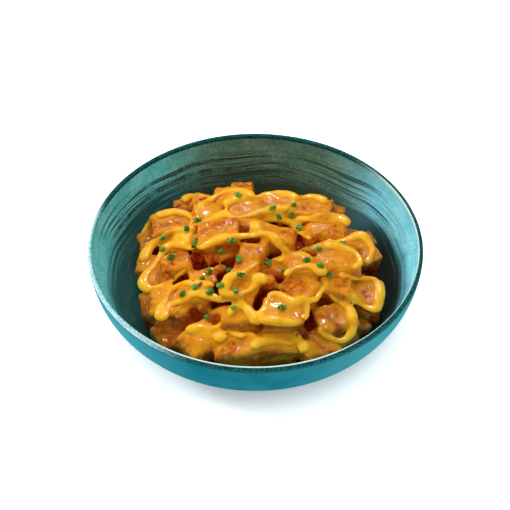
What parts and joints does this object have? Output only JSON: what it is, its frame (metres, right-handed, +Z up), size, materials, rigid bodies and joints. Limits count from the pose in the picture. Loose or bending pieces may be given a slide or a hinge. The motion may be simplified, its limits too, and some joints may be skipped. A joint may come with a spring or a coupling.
{
  "type": "plate of cheese fries",
  "caption": "Deep round coupe bowl with a mound of diced fried potato under trails of thick cheese sauce and snipped chives; served as a starter or side dish.",
  "frame": {"origin": "on the bowl's axis, at the level the foot ring rests on", "axes": "+Z up along the bowl's axis, -Y towards the diner, +X to the diner's right"},
  "size_m": [0.21, 0.21, 0.0583],
  "materials": {
    "bowl": "satin glaze, teal with dark olive brush rings",
    "potato_heap": "moist cooked potato under glossy cheese sauce"
  },
  "bodies": {
    "root": {"bowl": "bowl", "potato_heap": "potato_heap"}
  },
  "joints": []
}
